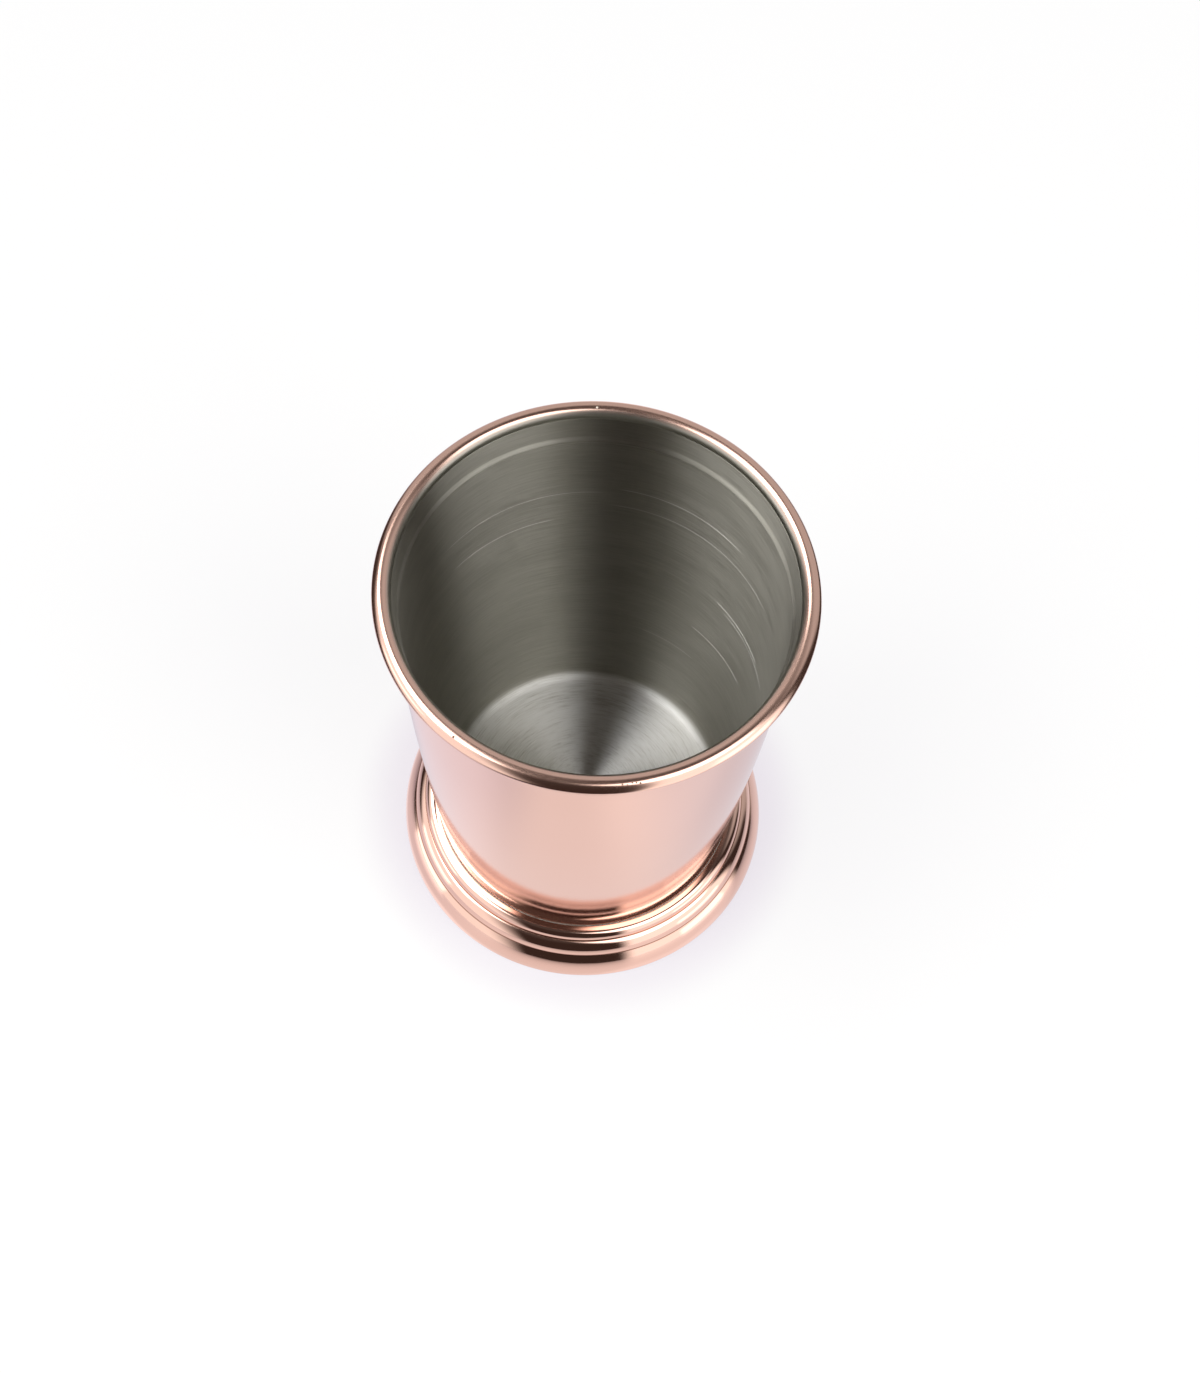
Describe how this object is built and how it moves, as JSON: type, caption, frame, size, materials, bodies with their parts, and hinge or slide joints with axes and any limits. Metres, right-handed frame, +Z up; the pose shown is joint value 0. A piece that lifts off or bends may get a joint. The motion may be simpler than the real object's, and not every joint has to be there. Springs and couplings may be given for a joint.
{
  "type": "julep cup",
  "caption": "Footed julep cup: a tapered copper beaker lined with brushed steel, with a rolled rim, standing on a flared hollow foot with round steps.",
  "frame": {"origin": "centre of the face that the foot rests on", "axes": "+Z up the axis of the cup, X and Y free because the cup is round"},
  "size_m": [0.09, 0.09, 0.1128],
  "materials": {
    "brushed_steel": "fine brushing round the axis",
    "polished_copper": "polished copper",
    "solder": "dull tin solder"
  },
  "bodies": {
    "root": {"steel_liner": "brushed_steel", "copper_shell": "polished_copper", "solder_ring": "solder", "foot_ring": "polished_copper"}
  },
  "joints": []
}
